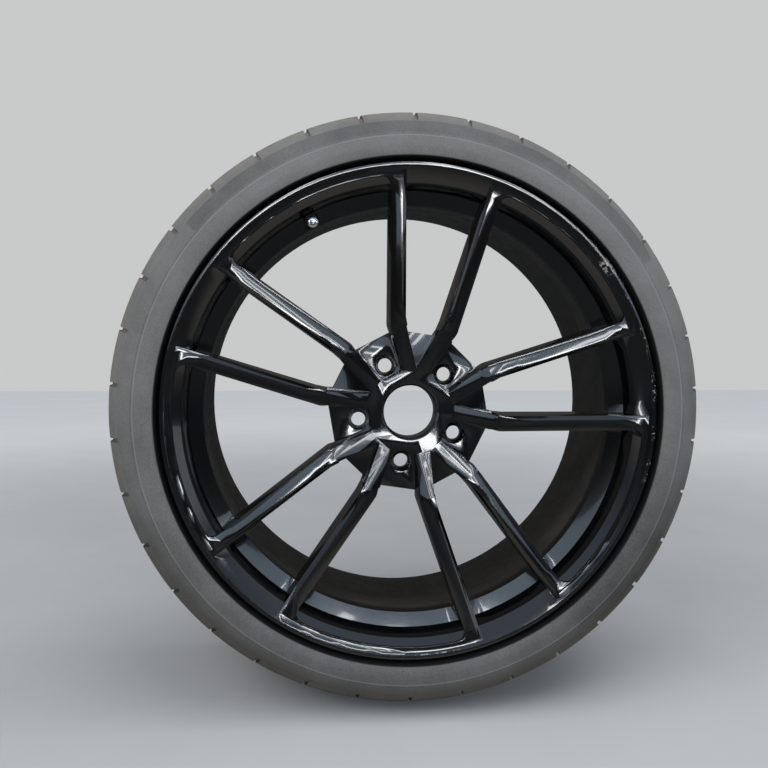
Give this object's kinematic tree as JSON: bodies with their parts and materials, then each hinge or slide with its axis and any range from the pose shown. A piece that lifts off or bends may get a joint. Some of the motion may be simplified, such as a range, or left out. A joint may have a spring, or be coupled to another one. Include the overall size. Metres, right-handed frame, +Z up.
{
  "type": "car wheel with tyre",
  "caption": "Cast alloy car wheel with paired spokes and an open hub bore, carrying a low-profile tyre and a snap-in valve.",
  "frame": {"origin": "centre of the wheel, on the axis at the middle of the rim's width", "axes": "+Y along the axis, from the outer face inwards to the vehicle; +Z up"},
  "size_m": [0.6469, 0.231, 0.6469],
  "materials": {
    "wheel_paint": "gloss black paint on cast alloy",
    "tyre_rubber": "dusty black rubber",
    "valve_rubber": "matt black rubber",
    "valve_brass": "turned brass",
    "seal_rubber": "matt rubber",
    "spring_steel": "drawn steel wire",
    "cap_metal": "bright metal"
  },
  "bodies": {
    "wheel": {"alloy_wheel": "wheel_paint", "tyre": "tyre_rubber", "valve_body": "valve_rubber", "valve_stem": "valve_brass", "valve_core": "valve_brass", "core_gasket": "seal_rubber", "core_spring": "spring_steel"},
    "cap": {"valve_cap": "cap_metal", "cap_seal": "seal_rubber"},
    "pin": {"core_pin": "valve_brass", "core_seat": "seal_rubber"}
  },
  "joints": [
    {"name": "cap_off", "type": "slide", "parent": "wheel", "child": "cap", "axis": [0.1216, -0.9649, -0.2327], "range_m": [0, 0.009]},
    {"name": "pin_press", "type": "slide", "parent": "wheel", "child": "pin", "axis": [-0.1216, 0.9649, 0.2327], "range_m": [0, 0.001], "stiffness_N_per_m": 400, "springref_m": -0.002, "deforming": ["core_spring"]}
  ]
}
